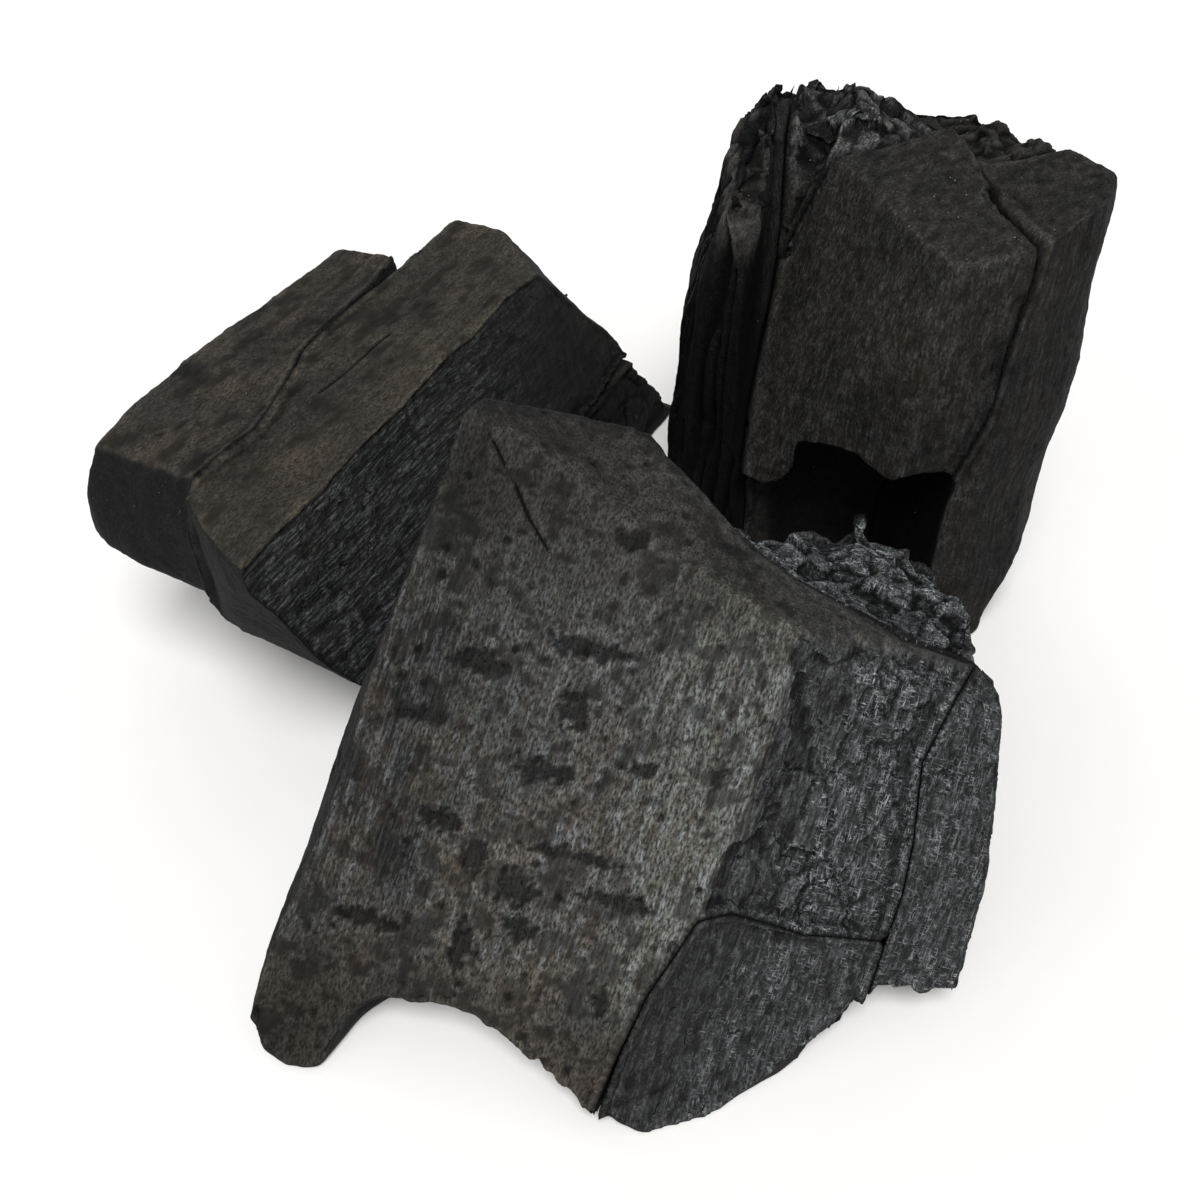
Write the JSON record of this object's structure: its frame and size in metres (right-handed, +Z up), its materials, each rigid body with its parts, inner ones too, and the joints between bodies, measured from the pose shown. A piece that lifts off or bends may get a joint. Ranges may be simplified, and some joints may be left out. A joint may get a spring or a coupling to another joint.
{
  "type": "lump charcoal",
  "caption": "Small heap of hardwood lump charcoal: a long lump lies flat, a tall one stands on its end grain and a broad slab leans back, each split by drying cracks.",
  "frame": {"origin": "on the floor under the middle of the heap's plan", "axes": "+Z up, +X to the right of the heap and +Y to its back, as seen from the side the broad lump faces"},
  "size_m": [0.1468, 0.1574, 0.0811],
  "materials": {
    "weathered_char": "fully charred hardwood, dusty grey-brown weathered face, matt",
    "broken_char": "fully charred hardwood, dark broken face along the grain, matt",
    "silvery_char": "fully charred hardwood, smooth split face with a silvery sheen",
    "torn_char": "fully charred hardwood, torn end grain with glinting cell walls"
  },
  "bodies": {
    "lying_lump": {"lying_lump_block": "weathered_char", "lying_lump_back_strip": "weathered_char", "lying_lump_lower_slab": "broken_char"},
    "standing_lump": {"standing_lump_front_block": "broken_char", "standing_lump_right_slab": "broken_char", "standing_lump_back_wall": "torn_char", "standing_lump_splintered_side": "torn_char"},
    "leaning_lump": {"leaning_lump_main_slab": "weathered_char", "leaning_lump_corner_wedge": "silvery_char", "leaning_lump_edge_slab": "silvery_char", "leaning_lump_torn_back": "torn_char"}
  },
  "joints": [
    {"name": "standing_lump_lift", "type": "slide", "parent": "lying_lump", "child": "standing_lump", "axis": [0, 0, 1], "range_m": [0, 0.1]},
    {"name": "leaning_lump_lift", "type": "slide", "parent": "lying_lump", "child": "leaning_lump", "axis": [0, 0, 1], "range_m": [0, 0.1]}
  ]
}
